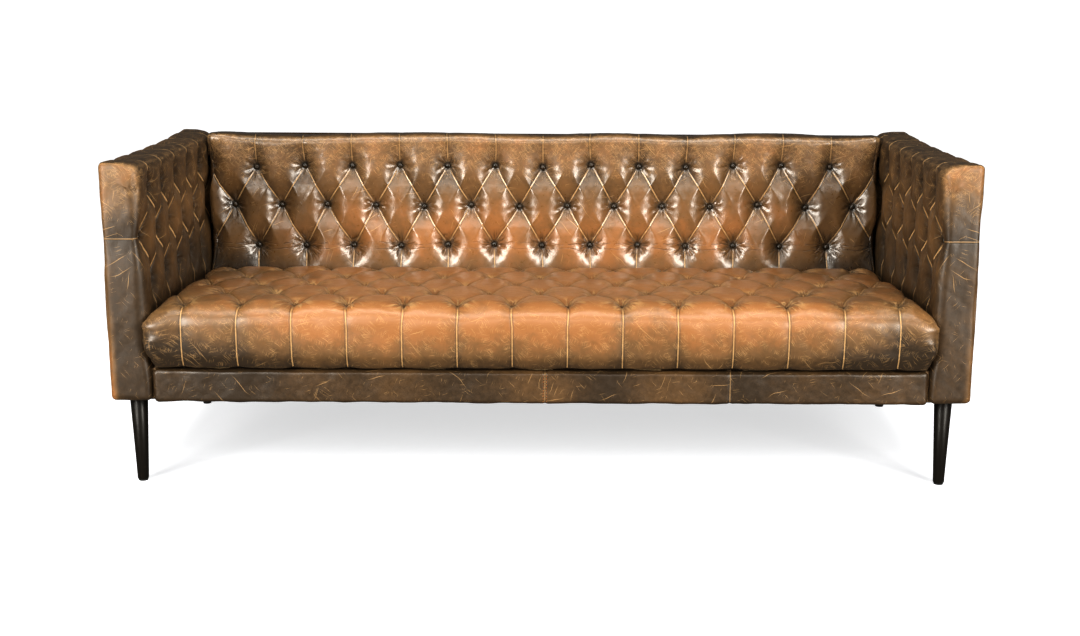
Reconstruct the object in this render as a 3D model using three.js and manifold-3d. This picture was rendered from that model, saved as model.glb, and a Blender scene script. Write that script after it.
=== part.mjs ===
// A tuxedo sofa in worn brown leather: a hardwood frame on four turned legs, webbing in the seat
// and back, foam pads, and leather covers whose arms and back stand at one height.
// Millimetres, +Z up, +Y towards the back. The origin is on the floor, under the middle of the sofa.

import * as THREE from "three";
import { mergeVertices } from "three/addons/utils/BufferGeometryUtils.js";
import Module from "manifold-3d";

const wasm = await Module();
wasm.setup();

// ---------------------------------------------------------------- driving dimensions

const WIDTH = 2000; // over the outside arms
const HEIGHT = 770; // floor to the top of the arms and the back
const DEPTH = 825; // nose of the seat to the outside back
const SEAT_NOSE = 15; // how far the seat's nose stands in front of the arms
const UNDERSIDE = 211; // floor to the underside of the body
const ARM_THICKNESS = 100;
const BACK_THICKNESS = 155; // at seat height, over the pad
const BACK_RAKE = 10; // how far the inside back leans away by the top
const SEAT_FRONT_TOP = 447;
const SEAT_REAR_TOP = 420;

const LEATHER = 2; // cover leather, with its thin backing
const FIT = 0.5; // room between a foam pad and the cover drawn over it
const OUTER_PANEL = 10; // leather over batting and board, on the outside arms and back
const ROLL_PAD = 25; // padding over the frame on the arms' fronts and every top edge
const POST = 40; // hardwood posts and arm rails, across the sofa
const BACK_RAIL_DEPTH = 45;
const SEAT_RAIL = 30; // thickness of the front and rear seat rails
const RAIL_BOTTOM = UNDERSIDE + 2;
const RAIL_TOP = 285;
const TACK_RAIL = [320, 360]; // bottom and top of the rails that the inside covers are tacked to
const LEG_BLOCK = 85; // square block at each corner of the seat frame
const STRAP = 2.5; // webbing thickness
const STRAP_WIDTH = 60;
const SEAT_STRAPS = 7;
const CROSS_STRAPS = 2;
const BACK_STRAPS = 5;

const LEG_TOP_RADIUS = 21;
const LEG_FOOT_RADIUS = 13;
const GLIDE_RADIUS = 11;
const GLIDE_HEIGHT = 3;
const BOLT_RADIUS = 4;
const BOLT_HOLE_RADIUS = 4.5;
const BOLT_SPAN = [171, 255]; // from inside the leg to inside the corner block

const ARM_ROLL_RADIUS = 45; // top edge on the seat side
const OUTER_EDGE_RADIUS = 12; // top edge on the outside
const ARM_FRONT_RADIUS = 14; // top front corner, seen from the side
const BACK_ROLL_RADIUS = 40;
const SEAT_NOSE_RADIUS = 48;
const SEAT_CORNER_RADIUS = 14; // front corners, seen from above
const SEAT_CROWN = 6; // rise of the seat's top between its nose and its rear edge
const BORDER_SETBACK = 4; // from the arms' fronts to the front border's face
const BORDER_DROP = 6; // how far the border hangs below the body's underside
const BORDER_EDGE_RADIUS = 5;

// ---------------------------------------------------------------- planes that follow from them

const outerX = WIDTH / 2;
const frameX = outerX - OUTER_PANEL;
const postX = frameX - POST;
const innerX = outerX - ARM_THICKNESS;
const rearY = DEPTH / 2;
const frontY = -DEPTH / 2;
const armFrontY = frontY + SEAT_NOSE;
const frameFrontY = armFrontY + ROLL_PAD;
const frameRearY = rearY - OUTER_PANEL;
const backFrontY = rearY - BACK_THICKNESS - 2.5;
const backRailY = frameRearY - BACK_RAIL_DEPTH;
const frameTop = HEIGHT - ROLL_PAD;
const strapTop = RAIL_TOP + STRAP;
const deckTop = strapTop + STRAP;
const padBottom = deckTop + 2;
const blockInnerX = frameX - LEG_BLOCK;
const legX = frameX - LEG_BLOCK / 2;
const legFrontY = frameFrontY + LEG_BLOCK / 2;
const legRearY = frameRearY - LEG_BLOCK / 2;
const backPadRearY = backRailY - STRAP - FIT;
const seatRearY = backFrontY - FIT;
// The start and end angles of each quarter turn, and its sense, as absarc takes them.
const QUARTERS = [0, 1, 2, 3].map((turn) => [(turn * Math.PI) / 2, ((turn + 1) * Math.PI) / 2, false]);

// ---------------------------------------------------------------- finishes

const finish = (color, roughness, metalness = 0) =>
  new THREE.MeshStandardMaterial({ color, roughness, metalness });
const bodyLeather = finish(0x4a2e1c, 0.4);
const seatLeather = finish(0x9a5a2c, 0.45);
const hardwood = finish(0xb98f60, 0.7);
const ebonised = finish(0x17130f, 0.35);
const steel = finish(0x8d8f92, 0.35, 1);
const nylon = finish(0x2a2a2a, 0.6);
const jute = finish(0x9c8a63, 0.9);
const foam = finish(0xd9c98f, 0.95);
const cambric = finish(0x1c1c1e, 0.95);

// ---------------------------------------------------------------- solids and booleans

// A closed three.js geometry as a manifold-3d solid.
function solid(geometry) {
  const bare = geometry.clone();
  bare.deleteAttribute("normal");
  bare.deleteAttribute("uv");
  const merged = mergeVertices(bare, 1e-4);
  return new wasm.Manifold(
    new wasm.Mesh({
      numProp: 3,
      vertProperties: merged.attributes.position.array,
      triVerts: new Uint32Array(merged.index.array),
    }),
  );
}

// A manifold-3d solid as a three.js geometry.
function geometryOf(made) {
  const mesh = made.getMesh();
  const geometry = new THREE.BufferGeometry();
  geometry.setAttribute("position", new THREE.BufferAttribute(mesh.vertProperties, 3));
  geometry.setIndex(new THREE.BufferAttribute(mesh.triVerts, 1));
  geometry.computeVertexNormals();
  return geometry;
}

// A box between two values on each axis.
function block([x0, x1], [y0, y1], [z0, z1]) {
  const geometry = new THREE.BoxGeometry(x1 - x0, y1 - y0, z1 - z0);
  geometry.translate((x0 + x1) / 2, (y0 + y1) / 2, (z0 + z1) / 2);
  return geometry;
}

// A profile, drawn out by a depth, with its curves in a few flats.
function drawnOut(shape, depth) {
  return new THREE.ExtrudeGeometry(shape, { depth, bevelEnabled: false, curveSegments: 6 });
}

// A profile in Y and Z, drawn out along X.
function alongX(shape, x0, x1) {
  const toYZ = new THREE.Matrix4().makeBasis(
    new THREE.Vector3(0, 1, 0),
    new THREE.Vector3(0, 0, 1),
    new THREE.Vector3(1, 0, 0),
  );
  return drawnOut(shape, x1 - x0).applyMatrix4(toYZ).translate(x0, 0, 0);
}

// A profile in X and Z, drawn out along Y.
function alongY(shape, y0, y1) {
  return drawnOut(shape, y1 - y0).rotateX(Math.PI / 2).translate(0, y1, 0);
}

// A profile in X and Y, drawn out along Z.
function alongZ(shape, z0, z1) {
  return drawnOut(shape, z1 - z0).translate(0, 0, z0);
}

function cylinder(radius, [z0, z1], sides = 16) {
  const geometry = new THREE.CylinderGeometry(radius, radius, z1 - z0, sides);
  return geometry.rotateX(Math.PI / 2).translate(0, 0, (z0 + z1) / 2);
}

function piece(name, material, geometry, at = [0, 0, 0]) {
  const mesh = new THREE.Mesh(geometry, material);
  mesh.name = name;
  mesh.position.set(...at);
  return mesh;
}

// A straight timber, strap or panel between two values on each axis.
function board(name, material, [x0, x1], [y0, y1], [z0, z1]) {
  const geometry = new THREE.BoxGeometry(x1 - x0, y1 - y0, z1 - z0);
  return piece(name, material, geometry, [(x0 + x1) / 2, (y0 + y1) / 2, (z0 + z1) / 2]);
}

// Every piece of one side, built on the right and mirrored for the left.
function bothSides(build) {
  const pair = new THREE.Group();
  for (const [side, sign] of [["left", -1], ["right", 1]]) {
    const half = build(side);
    half.scale.x = sign;
    pair.add(half);
  }
  return pair;
}

// ---------------------------------------------------------------- seat frame

function seatFrame() {
  const group = new THREE.Group();
  const railZ = [RAIL_BOTTOM, RAIL_TOP];
  const railX = [-blockInnerX, blockInnerX];
  const front = [frameFrontY, frameFrontY + SEAT_RAIL];
  const rear = [frameRearY - SEAT_RAIL, frameRearY];
  group.add(
    board("front_seat_rail", hardwood, railX, front, railZ),
    board("rear_seat_rail", hardwood, railX, rear, railZ),
    board("centre_seat_brace", hardwood, [-20, 20], [front[1], rear[0]], [RAIL_BOTTOM, RAIL_TOP - 20]),
  );
  return group;
}

// Side rail, corner blocks, posts and arm rails of one side.
function sideFrame(side) {
  const group = new THREE.Group();
  const postSpan = [postX, frameX];
  const postDepth = 50;
  const betweenBlocks = [frameFrontY + LEG_BLOCK, frameRearY - LEG_BLOCK];
  const betweenPosts = [frameFrontY + postDepth, frameRearY - postDepth];
  const postZ = [RAIL_TOP, frameTop];
  group.add(
    board(`${side}_side_rail`, hardwood, postSpan, betweenBlocks, [RAIL_BOTTOM, strapTop]),
    board(`${side}_front_post`, hardwood, postSpan, [frameFrontY, betweenPosts[0]], postZ),
    board(`${side}_rear_post`, hardwood, postSpan, [betweenPosts[1], frameRearY], postZ),
    board(`${side}_arm_top_rail`, hardwood, postSpan, betweenPosts, [frameTop - POST, frameTop]),
    board(`${side}_arm_tack_rail`, hardwood, postSpan, betweenPosts, TACK_RAIL),
  );
  return group;
}

function backFrame() {
  const group = new THREE.Group();
  const x = [-postX, postX];
  const y = [backRailY, frameRearY];
  group.add(
    board("back_top_rail", hardwood, x, y, [frameTop - 45, frameTop]),
    board("back_tack_rail", hardwood, x, y, TACK_RAIL),
    board("back_centre_post", hardwood, [-20, 20], y, [TACK_RAIL[1], frameTop - 45]),
  );
  return group;
}

// ---------------------------------------------------------------- legs

// Half the outline of a turned, tapered leg, from its foot to its top.
function legProfile() {
  const round = 3;
  const top = UNDERSIDE;
  return [
    new THREE.Vector2(0, GLIDE_HEIGHT),
    new THREE.Vector2(LEG_FOOT_RADIUS - round, GLIDE_HEIGHT),
    new THREE.Vector2(LEG_FOOT_RADIUS - 0.9, GLIDE_HEIGHT + 0.9),
    new THREE.Vector2(LEG_FOOT_RADIUS, GLIDE_HEIGHT + round),
    new THREE.Vector2(LEG_TOP_RADIUS, top),
    new THREE.Vector2(0, top),
  ];
}

function legGeometry() {
  const turned = new THREE.LatheGeometry(legProfile(), 24).rotateX(Math.PI / 2);
  const boltHole = cylinder(BOLT_HOLE_RADIUS, [BOLT_SPAN[0] - 1, UNDERSIDE + 10]);
  return geometryOf(solid(turned).subtract(solid(boltHole)));
}

// The block that a leg screws into, bored from below for the leg's bolt.
function legBlockGeometry() {
  const half = LEG_BLOCK / 2;
  const timber = block([-half, half], [-half, half], [RAIL_BOTTOM, RAIL_TOP]);
  const boltHole = cylinder(BOLT_HOLE_RADIUS, [RAIL_BOTTOM - 10, BOLT_SPAN[1] + 1]);
  return geometryOf(solid(timber).subtract(solid(boltHole)));
}

function sideLegs(side) {
  const group = new THREE.Group();
  for (const [end, y] of [["front", legFrontY], ["rear", legRearY]]) {
    const at = [legX, y, 0];
    const name = `${side}_${end}`;
    group.add(
      piece(`${name}_leg_block`, hardwood, legBlockGeometry(), at),
      piece(`${name}_leg`, ebonised, legGeometry(), at),
      piece(`${name}_leg_bolt`, steel, cylinder(BOLT_RADIUS, BOLT_SPAN), at),
      piece(`${name}_glide`, nylon, cylinder(GLIDE_RADIUS, [0, GLIDE_HEIGHT], 24), at),
    );
  }
  return group;
}

// ---------------------------------------------------------------- webbing

// Values spaced evenly about zero.
function evenly(count, pitch) {
  return Array.from({ length: count }, (_, i) => (i - (count - 1) / 2) * pitch);
}

function webbing() {
  const group = new THREE.Group();
  const half = STRAP_WIDTH / 2;
  evenly(SEAT_STRAPS, 250).forEach((x, i) => {
    const span = [frameFrontY, frameRearY];
    group.add(board(`seat_strap_${i + 1}`, jute, [x - half, x + half], span, [RAIL_TOP, strapTop]));
  });
  evenly(CROSS_STRAPS, 260).forEach((y, i) => {
    const span = [-frameX, frameX];
    group.add(board(`cross_strap_${i + 1}`, jute, span, [y - half, y + half], [strapTop, deckTop]));
  });
  evenly(BACK_STRAPS, 330).forEach((x, i) => {
    const y = [backRailY - STRAP, backRailY];
    group.add(board(`back_strap_${i + 1}`, jute, [x - half, x + half], y, [TACK_RAIL[0], frameTop]));
  });
  return group;
}

// ---------------------------------------------------------------- seat

// The seat's section: a full rounded nose, and a top that falls towards the back.
function seatProfile(grow) {
  const front = frontY + LEATHER - grow;
  const rear = seatRearY - LEATHER + grow;
  const radius = SEAT_NOSE_RADIUS + grow;
  const bottom = padBottom;
  const top = SEAT_FRONT_TOP - LEATHER + grow;
  const rearTop = SEAT_REAR_TOP - LEATHER + grow;
  const shape = new THREE.Shape();
  shape.moveTo(front, bottom);
  shape.lineTo(rear, bottom);
  shape.lineTo(rear, rearTop);
  shape.quadraticCurveTo(0, top + SEAT_CROWN, front + radius, top);
  shape.absarc(front + radius, top - radius, radius, Math.PI / 2, Math.PI, false);
  shape.closePath();
  return shape;
}

// The seat from above: straight sides between the arms, and rounded front corners.
function seatPlan(grow) {
  const side = innerX - FIT - LEATHER + grow;
  const front = frontY + LEATHER - grow;
  const shape = new THREE.Shape();
  shape.moveTo(-side, rearY);
  shape.lineTo(-side, front + SEAT_CORNER_RADIUS);
  shape.absarc(-side + SEAT_CORNER_RADIUS, front + SEAT_CORNER_RADIUS, SEAT_CORNER_RADIUS, ...QUARTERS[2]);
  shape.absarc(side - SEAT_CORNER_RADIUS, front + SEAT_CORNER_RADIUS, SEAT_CORNER_RADIUS, ...QUARTERS[3]);
  shape.lineTo(side, rearY);
  shape.closePath();
  return shape;
}

function seatForm(grow) {
  const section = solid(alongX(seatProfile(grow), -outerX, outerX));
  return section.intersect(solid(alongZ(seatPlan(grow), 0, HEIGHT)));
}

function seat() {
  const group = new THREE.Group();
  const below = solid(block([-outerX, outerX], [frontY - 10, rearY], [0, padBottom + LEATHER]));
  const cover = seatForm(LEATHER).subtract(seatForm(FIT)).subtract(below);
  group.add(
    piece("seat_foam", foam, geometryOf(seatForm(0))),
    piece("seat_cover", seatLeather, geometryOf(cover)),
  );
  return group;
}

// The padded leather band under the seat's nose, turned under the front rail.
function frontBorder() {
  const face = armFrontY + BORDER_SETBACK;
  const back = frameFrontY - FIT;
  const bottom = UNDERSIDE - BORDER_DROP;
  const top = deckTop - FIT;
  const lip = frameFrontY + SEAT_RAIL;
  const round = BORDER_EDGE_RADIUS;
  const shape = new THREE.Shape();
  shape.moveTo(lip, bottom);
  shape.lineTo(lip, UNDERSIDE - FIT);
  shape.lineTo(back, UNDERSIDE - FIT);
  shape.lineTo(back, top);
  shape.absarc(face + round, top - round, round, ...QUARTERS[1]);
  shape.absarc(face + round, bottom + round, round, ...QUARTERS[2]);
  shape.closePath();
  const half = innerX - FIT;
  return piece("front_border_cover", bodyLeather, alongX(shape, -half, half));
}

// ---------------------------------------------------------------- back

// The line of the inside back: from its foot up the raked face, over the top and down behind.
function backLine(shape, grow, foot) {
  const front = backFrontY + LEATHER - grow;
  const face = front + BACK_RAKE;
  const rear = rearY - LEATHER + grow;
  const top = HEIGHT - LEATHER + grow;
  const radius = BACK_ROLL_RADIUS + grow;
  shape.lineTo(front, foot);
  shape.lineTo(face, top - radius);
  shape.absarc(face + radius, top - radius, radius, Math.PI, Math.PI / 2, true);
  shape.absarc(rear - OUTER_EDGE_RADIUS, top - OUTER_EDGE_RADIUS, OUTER_EDGE_RADIUS, Math.PI / 2, 0, true);
}

// Foam in front of the webbing and over the top rail.
function backFoam() {
  const shape = new THREE.Shape();
  shape.moveTo(backPadRearY, padBottom);
  backLine(shape, 0, padBottom);
  shape.lineTo(rearY - LEATHER, frameTop + FIT);
  shape.lineTo(backPadRearY, frameTop + FIT);
  shape.closePath();
  const half = innerX - FIT;
  return piece("back_foam", foam, alongX(shape, -half, half));
}

// The tufted leather of the inside back, which runs over the top and ends above the outside back.
function insideBackCover() {
  const clear = 20;
  const whole = new THREE.Shape();
  whole.moveTo(rearY, padBottom);
  backLine(whole, LEATHER, padBottom);
  whole.lineTo(rearY, frameTop);
  whole.closePath();
  const hollow = new THREE.Shape();
  hollow.moveTo(rearY + clear, padBottom - clear);
  backLine(hollow, FIT, padBottom - clear);
  hollow.lineTo(rearY - LEATHER + FIT, frameTop);
  hollow.lineTo(rearY + clear, frameTop);
  hollow.closePath();
  const half = innerX - FIT;
  const inside = solid(alongX(hollow, -half - clear, half + clear));
  return piece("inside_back_cover", bodyLeather, geometryOf(solid(alongX(whole, -half, half)).subtract(inside)));
}

// ---------------------------------------------------------------- arms

// The section of an arm, seen from the front: a wide roll on the seat side of its top.
function armProfile(grow) {
  const inner = innerX + LEATHER - grow;
  const top = HEIGHT - LEATHER + grow;
  const roll = ARM_ROLL_RADIUS + grow;
  const outer = outerX - LEATHER + grow;
  const shape = new THREE.Shape();
  shape.moveTo(inner, UNDERSIDE);
  shape.lineTo(outer, UNDERSIDE);
  shape.lineTo(outer, top - OUTER_EDGE_RADIUS);
  shape.absarc(outer - OUTER_EDGE_RADIUS, top - OUTER_EDGE_RADIUS, OUTER_EDGE_RADIUS, ...QUARTERS[0]);
  shape.absarc(inner + roll, top - roll, roll, ...QUARTERS[1]);
  shape.closePath();
  return shape;
}

// The side view of an arm: square, with its top front corner eased.
function armSide(grow) {
  const front = armFrontY + LEATHER - grow;
  const rear = rearY - LEATHER + grow;
  const top = HEIGHT + 1;
  const shape = new THREE.Shape();
  shape.moveTo(front, 0);
  shape.lineTo(rear, 0);
  shape.lineTo(rear, top);
  shape.absarc(front + ARM_FRONT_RADIUS, HEIGHT - ARM_FRONT_RADIUS, ARM_FRONT_RADIUS, ...QUARTERS[1]);
  shape.closePath();
  return shape;
}

function armForm(grow) {
  const drawn = solid(alongY(armProfile(grow), frontY, rearY + 1));
  return drawn.intersect(solid(alongX(armSide(grow), 0, outerX + 1)));
}

// What the frame fills: the space behind the arm's front pad, under its top pad.
function armFrameSpace(gap) {
  const far = 100;
  const beside = block([postX - gap, outerX + far], [frameFrontY - gap, rearY + far], [0, frameTop + gap]);
  const seatLevel = block([0, outerX], [frameFrontY - gap, rearY + far], [0, padBottom - gap]);
  const behindBack = block([0, outerX], [backRailY - STRAP - gap, rearY + far], [0, frameTop + gap]);
  const underneath = block([0, outerX + far], [frontY - far, rearY + far], [0, UNDERSIDE + gap]);
  return [beside, seatLevel, behindBack, underneath].map(solid);
}

function without(made, cuts) {
  return cuts.reduce((left, cut) => left.subtract(cut), made);
}

function armPadding(side) {
  const group = new THREE.Group();
  const padding = without(armForm(0), armFrameSpace(FIT));
  const cover = without(armForm(LEATHER).subtract(armForm(FIT)), armFrameSpace(0));
  group.add(
    piece(`${side}_arm_foam`, foam, geometryOf(padding)),
    piece(`${side}_inside_arm_cover`, bodyLeather, geometryOf(cover)),
  );
  return group;
}

// ---------------------------------------------------------------- outside panels and dust cover

function outsideArm(side) {
  const group = new THREE.Group();
  group.add(
    board(
      `${side}_outside_arm_cover`,
      bodyLeather,
      [frameX + FIT, outerX],
      [frameFrontY + FIT, rearY],
      [UNDERSIDE, frameTop - FIT],
    ),
  );
  return group;
}

function outsideBack() {
  return board(
    "outside_back_cover",
    bodyLeather,
    [-frameX, frameX],
    [frameRearY + FIT, rearY],
    [UNDERSIDE, frameTop - FIT],
  );
}

function dustCover() {
  const sheet = block([-frameX, frameX], [frameFrontY, frameRearY], [UNDERSIDE, UNDERSIDE + 1.5]);
  const holes = [];
  for (const x of [-legX, legX]) {
    for (const y of [legFrontY, legRearY]) {
      holes.push(solid(cylinder(BOLT_HOLE_RADIUS + 1, [UNDERSIDE - 5, UNDERSIDE + 5]).translate(x, y, 0)));
    }
  }
  return piece("dust_cover", cambric, geometryOf(without(solid(sheet), holes)));
}

// ---------------------------------------------------------------- the sofa

const sofa = new THREE.Group();
sofa.add(
  seatFrame(),
  bothSides(sideFrame),
  backFrame(),
  bothSides(sideLegs),
  webbing(),
  seat(),
  frontBorder(),
  backFoam(),
  insideBackCover(),
  bothSides(armPadding),
  bothSides(outsideArm),
  outsideBack(),
  dustCover(),
);

export default sofa;
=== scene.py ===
"""A worn leather tuxedo sofa: tufted back, arms and seat, its border, panels, buttons, legs and finishes."""

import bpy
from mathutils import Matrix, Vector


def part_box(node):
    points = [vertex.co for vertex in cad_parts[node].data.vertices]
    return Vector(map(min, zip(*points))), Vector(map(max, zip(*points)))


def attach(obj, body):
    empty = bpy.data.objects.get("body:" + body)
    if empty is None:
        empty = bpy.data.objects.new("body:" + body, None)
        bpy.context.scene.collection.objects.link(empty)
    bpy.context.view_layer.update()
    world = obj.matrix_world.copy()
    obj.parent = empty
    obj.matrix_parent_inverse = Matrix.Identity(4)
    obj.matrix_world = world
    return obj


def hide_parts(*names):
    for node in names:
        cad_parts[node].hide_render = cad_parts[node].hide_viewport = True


bl_info = {
    "name": "Worn Leather Sofa",
    "version": (1, 0, 0),
    "blender": (4, 5, 0),
    "location": "3D View > Sidebar > Sofa",
    "description": "Upholsters the frame of a tuxedo sofa in worn, tufted leather",
    "category": "Add Mesh",
}

import math
from dataclasses import dataclass

import bmesh
import bpy
import numpy as np
from mathutils import Matrix, Vector

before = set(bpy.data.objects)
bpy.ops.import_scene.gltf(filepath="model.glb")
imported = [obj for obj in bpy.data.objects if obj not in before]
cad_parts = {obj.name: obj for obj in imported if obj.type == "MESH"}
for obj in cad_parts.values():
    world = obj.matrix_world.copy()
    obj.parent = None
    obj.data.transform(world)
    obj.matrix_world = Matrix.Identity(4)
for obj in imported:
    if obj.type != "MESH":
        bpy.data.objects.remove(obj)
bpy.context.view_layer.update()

MM = 0.001
BODY = "root"
SIDES = {"left": -1, "right": 1}  # each arm's side of X

BACK_TOP_CELLS = 13  # grid cells from the highest row of tufts up to the top edge
ARM_TOP_CELLS = 11
ARM_FRONT_CELLS = 10  # grid cells from the front edge to where the tufting stops
SEAT_FRONT_CELLS = 6  # grid cells from the front edge to the first row of tufts
CELLS_PER_PITCH = 32  # grid cells along a row between two tufts
CELLS_PER_GAP = 16  # grid cells between two rows

BACK_HEIGHT = 0.47  # of the inside back, down to where it goes behind the seat
BACK_BUTTONS = (-0.87, 0.87)  # stretch of the back that has buttons
ARM_BUTTONS = (-0.37, 0.24)
BUTTON_RISE = 8 * MM  # of a button's middle above the bottom of its tuft
BORDER_SEAMS = (0.012, 0.440)  # where the border's leather is joined; the first seam is stitched
FOOT_SHARE = 13 / 21  # a leg's width at the floor, as a share of that at its top

FLOOR_HALF = 7.0  # from the middle of the studio floor to its edges
SWEEP_STEPS = 12  # short lengths that turn the floor up to a wall
SWEEP_STEP = 0.5


# ---------------------------------------------------------------- sizes and colours


def length(name, description, default):
    return bpy.props.FloatProperty(name=name, description=description, default=default, unit="LENGTH")


def colour(name, description, default):
    return bpy.props.FloatVectorProperty(
        name=name, description=description, default=default, size=3, subtype="COLOR", min=0.0, max=1.0
    )


class SofaSizes(bpy.types.PropertyGroup):
    back_tuft: length("Back tuft depth", "How deep the back's buttons are pulled", 26 * MM)
    back_pleat: length("Back pleat depth", "How deep the folds between the back's buttons lie", 6 * MM)
    arm_tuft: length("Arm tuft depth", "How deep the arms' buttons are pulled", 25 * MM)
    arm_pleat: length("Arm pleat depth", "How deep the folds between the arms' buttons lie", 7 * MM)
    seat_tuft: length("Seat tuft depth", "How deep the seat is pulled down at each tuft", 19 * MM)
    seat_pleat: length("Seat pleat depth", "How deep the folds between the seat's tufts lie", 6 * MM)
    button: length("Button diameter", "Width of a leather covered button", 14 * MM)
    stitch: length("Stitch length", "Length of one stitch on the border's seam", 5 * MM)


class SofaColours(bpy.types.PropertyGroup):
    # Painted shade in the leather's folds and round its tufts, and the darkest tone of the buttons.
    grime_and_shade: colour("Grime", "Dirt and shade in folds and around buttons", (0.008, 0.007, 0.004))
    dark: colour("Dark leather", "Leather that has darkened with age", (0.034, 0.021, 0.010))
    brown: colour("Brown leather", "Leather between its dark and its light parts", (0.152, 0.084, 0.032))
    body: colour("Body leather", "The lightest leather of the back and arms", (0.320, 0.142, 0.046))
    seat: colour("Seat leather", "The lightest leather of the seat", (0.318, 0.142, 0.046))
    rubbed: colour("Rubbed leather", "Leather rubbed through to its tan", (0.600, 0.380, 0.170))
    thread: colour("Thread", "Stitches on the border's seam", (0.600, 0.250, 0.070))
    leg: colour("Legs", "Stained and lacquered legs", (0.006, 0.005, 0.004))
    floor: colour("Floor", "Studio floor and backdrop", (0.56, 0.59, 0.65))


# ---------------------------------------------------------------- numbers over many points


def smoothstep(values, low, high):
    t = np.clip((values - low) / (high - low), 0.0, 1.0)
    return t * t * (3.0 - 2.0 * t)


def ripple(points, wavelength, seed, waves=7):
    """Soft random unevenness, about -1 to 1, over rows of one, two or three coordinates."""
    rng = np.random.default_rng(seed)
    total = np.zeros(len(points))
    for _ in range(waves):
        direction = rng.normal(size=points.shape[1])
        direction /= np.linalg.norm(direction)
        phase = rng.uniform(0.0, 2.0 * math.pi)
        stretch = wavelength * rng.uniform(0.6, 1.7)
        total += np.sin(points @ direction * (2.0 * math.pi / stretch) + phase)
    return total / math.sqrt(waves)


def bump_at(values, centre, width):
    """A smooth rise from 0 to 1 and back, round a centre."""
    return np.exp(-(((values - centre) / width) ** 2))


# ---------------------------------------------------------------- tufting


@dataclass
class Tufting:
    """Staggered rows of tufts, with folds between them."""

    pitch: float  # between the tufts of a row
    gap: float  # between rows
    first: tuple  # a tuft of the lowest row
    rows: int
    depth: float
    pleat: float
    front: float = None  # where the tufting stops and its folds run straight on, or None
    straight: float = 0.35  # share of the fold's depth that is left where it runs straight up
    onward: float = 0.15  # share of the fold's depth that is left in front of the tufting
    dimple: float = 3.2  # how tightly the leather is drawn down round a tuft
    crease: float = 4.5  # how narrow the folds are
    pucker: float = 1.3 * MM
    strain: float = 0.0  # how much more the leather is pulled round the lowest row
    seed: int = 1

    def fields(self, u, v):
        """Height of each point of the flat cover, and the fields that its leather reads."""
        along = (u - self.first[0]) / (self.pitch / 2)
        up = (v - self.first[1]) / self.gap
        inside_up = np.clip(up, 0, self.rows - 1)
        inside_along = along if self.front is None else np.maximum(along, self.front)
        a = (inside_along + inside_up) / 2
        b = (inside_up - inside_along) / 2
        from_a = a - np.round(a)
        from_b = b - np.round(b)
        near_a = 1 - 2 * np.abs(from_a)
        near_b = 1 - 2 * np.abs(from_b)
        past_rows = np.abs(up - inside_up)
        past_front = np.abs(along - inside_along) * self.pitch / 2 / self.gap
        past = np.clip(np.maximum(past_rows, past_front) / 0.6, 0, 1)
        near = (1 - past) ** self.dimple
        hollow = near_a**self.dimple * near_b**self.dimple * near
        rise_a, rise_b = 1 - near_a**self.crease, 1 - near_b**self.crease
        crown = rise_a * (rise_b * near + 1 - near)
        left = np.where(past_front > past_rows, self.onward, self.straight)
        pleat = self.pleat * (1 - (1 - left) * past)
        height = -(self.depth - self.pleat) * hollow - pleat * (1 - crown)
        height -= 0.25 * self.pleat * near_a * near_b * near

        slant = math.hypot(self.pitch / 2, self.gap)
        across = np.where(past_rows > 0, self.pitch, self.pitch * self.gap / slant)
        across = np.where(past_front > past_rows, 2 * self.gap, across)
        nearest = np.where(np.abs(from_a) < np.abs(from_b), from_a, from_b)
        fold = np.abs(nearest) * across

        aside = (from_a - from_b) * self.pitch / 2 + (along - inside_along) * self.pitch / 2
        above = (from_a + from_b + up - inside_up) * self.gap
        chance = np.sin(np.round(a) * 12.9898 + np.round(b) * 78.233 + self.seed) * 43758.5453
        chance -= np.floor(chance)
        height += self.puckers(chance, aside, above)
        lowest = (np.round(a) + np.round(b) == 0) & (up < 0.5)
        strain = 0.7 + 0.4 * chance + self.strain * lowest
        from_tuft = {"aside": np.abs(aside), "above": np.abs(above)}
        return height, {"fold": fold, "crown": crown, "strain": strain, **from_tuft}

    def puckers(self, chance, aside, above):
        """Short wrinkles that run out from each tuft."""
        around = np.arctan2(above, aside)
        away = np.hypot(aside, above)
        folds = 6 + np.floor(chance * 4)
        waves = np.cos(folds * around + chance * 20.0) + 0.5 * np.cos((folds + 5) * around + chance * 50.0)
        return self.pucker * (0.6 + 0.8 * chance) * waves * bump_at(away, 19 * MM, 11 * MM)

    def tufts(self, low_u, high_u):
        """The flat place of every tuft between two values of u."""
        places = []
        for row in range(self.rows):
            start = self.first[0] + (row % 2) * self.pitch / 2
            v = self.first[1] + row * self.gap
            for k in range(-20, 21):
                u = start + k * self.pitch
                if low_u < u < high_u:
                    places.append((u, v))
        return places


# ---------------------------------------------------------------- padded blocks


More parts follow.
